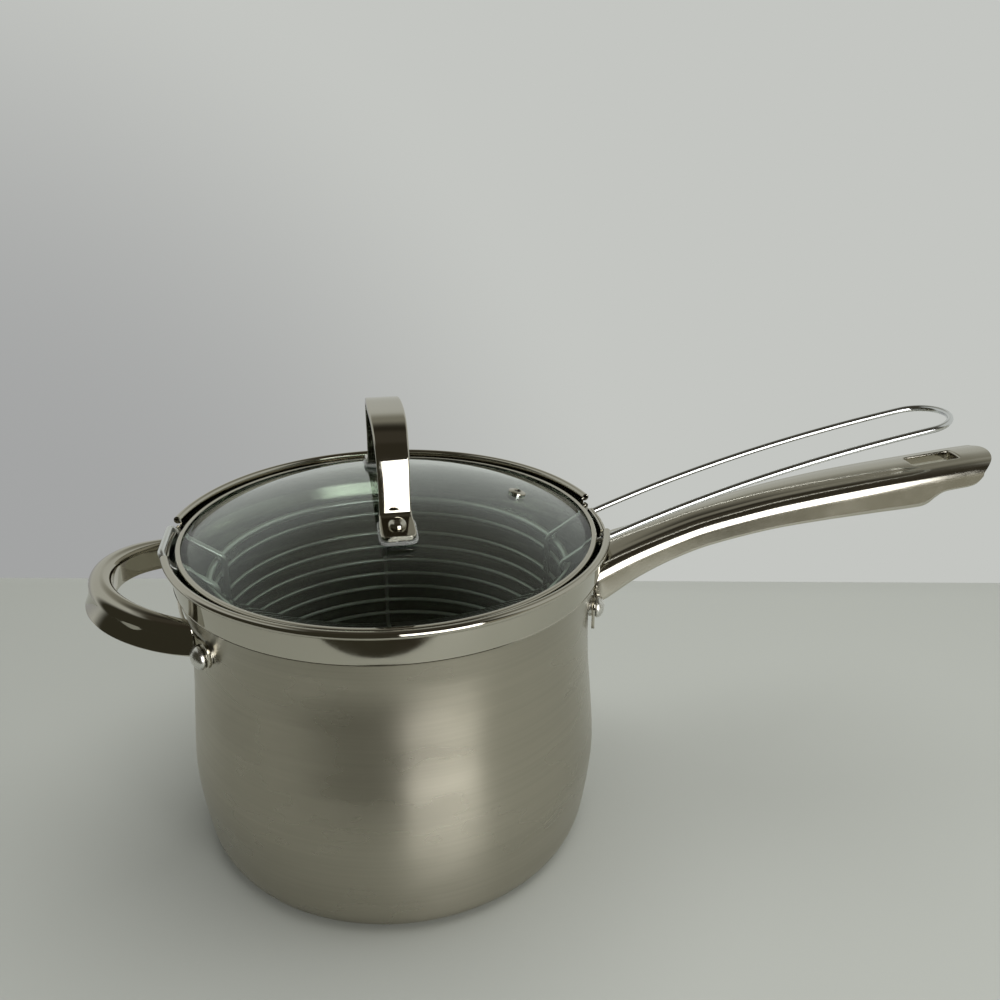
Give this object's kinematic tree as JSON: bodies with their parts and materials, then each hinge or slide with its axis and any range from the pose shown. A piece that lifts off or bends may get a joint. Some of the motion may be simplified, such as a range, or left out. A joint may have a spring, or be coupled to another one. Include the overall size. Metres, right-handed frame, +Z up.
{
  "type": "stockpot with basket",
  "caption": "Tall stainless steel stockpot with a lift-out wire basket hung in rim notches, a riveted long handle, a side loop handle and a domed glass lid with a strap handle.",
  "frame": {"origin": "centre of the pot's bottom face", "axes": "+Z up along the pot's axis, +X along the long handle, the side handle at -X"},
  "size_m": [0.4468, 0.21, 0.2183],
  "materials": {
    "brushed_body": "satin, brushed round the body, polished rim band",
    "polished_steel": "mirror polished stainless steel",
    "chrome_wire": "bright plated wire",
    "base_steel": "satin",
    "aluminium_core": "plain",
    "lid_glass": "clear tempered glass",
    "silicone": "translucent"
  },
  "bodies": {
    "pot": {"pot_shell": "brushed_body", "base_core": "aluminium_core", "base_cap": "base_steel", "long_handle_plate": "polished_steel", "long_handle_rivet_front": "polished_steel", "long_handle_rivet_back": "polished_steel", "long_handle_spacer_front": "polished_steel", "long_handle_spacer_back": "polished_steel", "side_handle_plate": "polished_steel", "side_handle_rivet_front": "polished_steel", "side_handle_rivet_back": "polished_steel", "side_handle_spacer_front": "polished_steel", "side_handle_spacer_back": "polished_steel", "long_handle_grip": "polished_steel", "side_handle_loop": "polished_steel"},
    "basket": {"basket_top_ring": "chrome_wire", "basket_hoop_01": "chrome_wire", "basket_hoop_02": "chrome_wire", "basket_hoop_03": "chrome_wire", "basket_hoop_04": "chrome_wire", "basket_hoop_05": "chrome_wire", "basket_hoop_06": "chrome_wire", "basket_hoop_07": "chrome_wire", "basket_hoop_08": "chrome_wire", "basket_hoop_09": "chrome_wire", "basket_hoop_10": "chrome_wire", "basket_hoop_11": "chrome_wire", "basket_floor_ring_1": "chrome_wire", "basket_floor_ring_2": "chrome_wire", "basket_floor_ring_3": "chrome_wire", "basket_floor_ring_4": "chrome_wire", "basket_rib": "chrome_wire", "basket_handle": "chrome_wire", "basket_hook": "chrome_wire"},
    "lid": {"lid_band": "polished_steel", "lid_glass": "lid_glass", "lid_vent_eyelet": "polished_steel", "lid_handle_strap": "polished_steel", "lid_pad_front": "silicone", "lid_pad_back": "silicone", "lid_screw_front": "polished_steel", "lid_screw_back": "polished_steel", "lid_washer_front": "silicone", "lid_washer_back": "silicone", "lid_nut_front": "polished_steel", "lid_nut_back": "polished_steel"}
  },
  "joints": [
    {"name": "basket_lift", "type": "slide", "parent": "pot", "child": "basket", "axis": [0, 0, 1], "range_m": [0, 0.16]},
    {"name": "lid_lift", "type": "slide", "parent": "basket", "child": "lid", "axis": [0, 0, 1], "range_m": [0, 0.12]}
  ]
}
